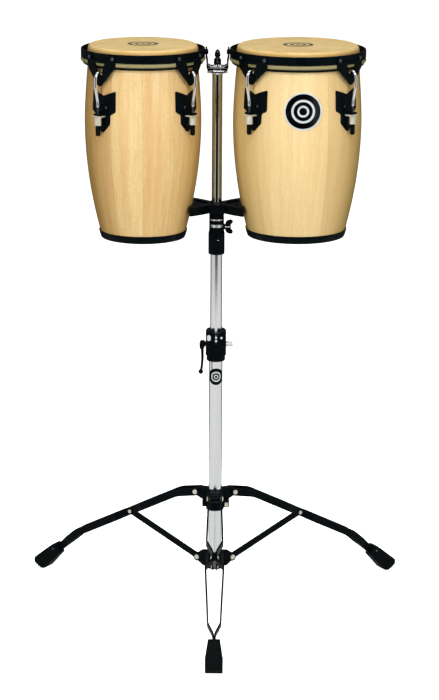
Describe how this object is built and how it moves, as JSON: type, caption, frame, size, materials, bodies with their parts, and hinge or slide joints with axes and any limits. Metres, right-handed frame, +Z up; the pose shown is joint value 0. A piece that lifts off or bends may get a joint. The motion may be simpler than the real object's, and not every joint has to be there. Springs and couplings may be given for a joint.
{
  "type": "conga drums",
  "caption": "Pair of small wooden stave conga drums with lug-tuned skin heads, side by side on a height-adjustable folding tripod stand.",
  "frame": {"origin": "on the floor, under the middle of the outline seen from above", "axes": "+Z up; the player stands at -Y, in front; the two drums lie along X"},
  "size_m": [0.7224, 0.6281, 1.076],
  "materials": {
    "wood": "satin clear lacquer",
    "skin": "natural buffalo skin, lightly polished",
    "black_metal": "satin black powder coat",
    "black_plastic": "moulded black nylon",
    "chrome": "polished chrome",
    "zinc": "zinc plated",
    "rubber": "ribbed moulded rubber",
    "badge": "gloss black with a silver rim"
  },
  "bodies": {
    "stand_base": {"base_tube": "chrome", "lower_hub": "black_metal", "lever_clamp": "black_metal", "clamp_bolt": "zinc"},
    "collar": {"leg_collar": "black_metal"},
    "collar_screw": {"collar_screw": "zinc"},
    "height_tube": {"upper_tube": "chrome", "sleeve_clamp": "black_plastic"},
    "sleeve_wing_bolt": {"wing_bolt": "black_plastic"},
    "cam_lever": {"clamp_lever": "black_metal"},
    "drum_carrier": {"drum_post": "chrome", "cradle": "black_plastic", "clamp_tray": "chrome", "clamp_plate": "chrome", "right_badge": "badge", "left_shell": "wood", "left_head": "skin", "left_hoop": "black_metal", "left_bottom_ring": "black_metal", "left_hanger": "black_metal", "right_shell": "wood", "right_head": "skin", "right_hoop": "black_metal", "right_bottom_ring": "black_metal", "right_hanger": "black_metal", "left_hook_front_left": "chrome", "left_side_plate_front_left": "black_metal", "left_hook_front_right": "chrome", "left_side_plate_front_right": "black_metal", "left_hook_back_right": "chrome", "left_side_plate_back_right": "black_metal", "left_hook_back_left": "chrome", "left_side_plate_back_left": "black_metal", "right_hook_front_left": "chrome", "right_side_plate_front_left": "black_metal", "right_hook_front_right": "chrome", "right_side_plate_front_right": "black_metal", "right_hook_back_right": "chrome", "right_side_plate_back_right": "black_metal", "right_hook_back_left": "chrome", "right_side_plate_back_left": "black_metal"},
    "top_knob": {"top_knob": "black_plastic"},
    "leg_front": {"leg_front": "black_metal", "foot_front": "rubber"},
    "brace_front": {"brace_front": "black_metal"},
    "leg_back_right": {"leg_back_right": "black_metal", "foot_back_right": "rubber"},
    "brace_back_right": {"brace_back_right": "black_metal"},
    "leg_back_left": {"leg_back_left": "black_metal", "foot_back_left": "rubber"},
    "brace_back_left": {"brace_back_left": "black_metal"},
    "left_nut_front_left": {"left_tuning_nut_front_left": "zinc"},
    "left_nut_front_right": {"left_tuning_nut_front_right": "zinc"},
    "left_nut_back_right": {"left_tuning_nut_back_right": "zinc"},
    "left_nut_back_left": {"left_tuning_nut_back_left": "zinc"},
    "right_nut_front_left": {"right_tuning_nut_front_left": "zinc"},
    "right_nut_front_right": {"right_tuning_nut_front_right": "zinc"},
    "right_nut_back_right": {"right_tuning_nut_back_right": "zinc"},
    "right_nut_back_left": {"right_tuning_nut_back_left": "zinc"}
  },
  "joints": [
    {"name": "collar_slide", "type": "slide", "parent": "stand_base", "child": "collar", "axis": [0, 0, 1], "range_m": [0, 0.1928]},
    {"name": "tripod_fold", "type": "hinge", "parent": "collar", "child": "leg_front", "pos_m": [0, 0.05915, 0.215], "axis": [1, 0, 0], "range_deg": [0, 55]},
    {"name": "leg_back_right_hinge", "type": "hinge", "parent": "collar", "child": "leg_back_right", "pos_m": [0.03204, 0.11465, 0.215], "axis": [-0.5, 0.866, 0], "range_deg": [0, 55]},
    {"name": "leg_back_left_hinge", "type": "hinge", "parent": "collar", "child": "leg_back_left", "pos_m": [-0.03204, 0.11465, 0.215], "axis": [-0.5, -0.866, 0], "range_deg": [0, 55]},
    {"name": "brace_front_hinge", "type": "hinge", "parent": "stand_base", "child": "brace_front", "pos_m": [0, 0.05915, 0.082], "axis": [-1, 0, 0], "range_deg": [0, 55]},
    {"name": "brace_back_right_hinge", "type": "hinge", "parent": "stand_base", "child": "brace_back_right", "pos_m": [0.03204, 0.11465, 0.082], "axis": [0.5, -0.866, 0], "range_deg": [0, 55]},
    {"name": "brace_back_left_hinge", "type": "hinge", "parent": "stand_base", "child": "brace_back_left", "pos_m": [-0.03204, 0.11465, 0.082], "axis": [0.5, 0.866, 0], "range_deg": [0, 55]},
    {"name": "collar_screw_turn", "type": "hinge", "parent": "collar", "child": "collar_screw", "pos_m": [0.0218, 0.09615, 0.1965], "axis": [0, 1, 0], "continuous": true},
    {"name": "height_slide", "type": "slide", "parent": "stand_base", "child": "height_tube", "axis": [0, 0, 1], "range_m": [-0.12, 0.2]},
    {"name": "cam_lever_swing", "type": "hinge", "parent": "stand_base", "child": "cam_lever", "pos_m": [-0.025, 0.07865, 0.514], "axis": [0, 1, 0], "range_deg": [0, 115]},
    {"name": "sleeve_wing_bolt_turn", "type": "hinge", "parent": "height_tube", "child": "sleeve_wing_bolt", "pos_m": [0.02, 0.09615, 0.735], "axis": [1, 0, 0], "continuous": true},
    {"name": "drum_swivel", "type": "hinge", "parent": "height_tube", "child": "drum_carrier", "pos_m": [0, 0.09615, 0.75], "axis": [0, 0, 1], "continuous": true},
    {"name": "top_knob_turn", "type": "hinge", "parent": "drum_carrier", "child": "top_knob", "pos_m": [0, 0.09615, 1.045], "axis": [0, 0, 1], "continuous": true},
    {"name": "left_nut_front_left_turn", "type": "hinge", "parent": "drum_carrier", "child": "left_nut_front_left", "pos_m": [-0.21572, 0.00368, 0.9466], "axis": [0, 0, 1], "continuous": true},
    {"name": "left_nut_front_right_turn", "type": "hinge", "parent": "drum_carrier", "child": "left_nut_front_right", "pos_m": [-0.04428, 0.01718, 0.9466], "axis": [0, 0, 1], "continuous": true},
    {"name": "left_nut_back_right_turn", "type": "hinge", "parent": "drum_carrier", "child": "left_nut_back_right", "pos_m": [-0.05778, 0.18862, 0.9466], "axis": [0, 0, 1], "continuous": true},
    {"name": "left_nut_back_left_turn", "type": "hinge", "parent": "drum_carrier", "child": "left_nut_back_left", "pos_m": [-0.22922, 0.17512, 0.9466], "axis": [0, 0, 1], "continuous": true},
    {"name": "right_nut_front_left_turn", "type": "hinge", "parent": "drum_carrier", "child": "right_nut_front_left", "pos_m": [0.05817, -0.00161, 0.9516], "axis": [0, 0, 1], "continuous": true},
    {"name": "right_nut_front_right_turn", "type": "hinge", "parent": "drum_carrier", "child": "right_nut_front_right", "pos_m": [0.24551, 0.00657, 0.9516], "axis": [0, 0, 1], "continuous": true},
    {"name": "right_nut_back_right_turn", "type": "hinge", "parent": "drum_carrier", "child": "right_nut_back_right", "pos_m": [0.23733, 0.19391, 0.9516], "axis": [0, 0, 1], "continuous": true},
    {"name": "right_nut_back_left_turn", "type": "hinge", "parent": "drum_carrier", "child": "right_nut_back_left", "pos_m": [0.04999, 0.18573, 0.9516], "axis": [0, 0, 1], "continuous": true}
  ],
  "couplings": [
    {"joint": "collar_slide", "follows": "tripod_fold", "m_per_rad": 0.20034},
    {"joint": "leg_back_right_hinge", "follows": "tripod_fold", "ratio": 1},
    {"joint": "leg_back_left_hinge", "follows": "tripod_fold", "ratio": 1},
    {"joint": "brace_front_hinge", "follows": "tripod_fold", "ratio": 1},
    {"joint": "brace_back_right_hinge", "follows": "tripod_fold", "ratio": 1},
    {"joint": "brace_back_left_hinge", "follows": "tripod_fold", "ratio": 1}
  ]
}
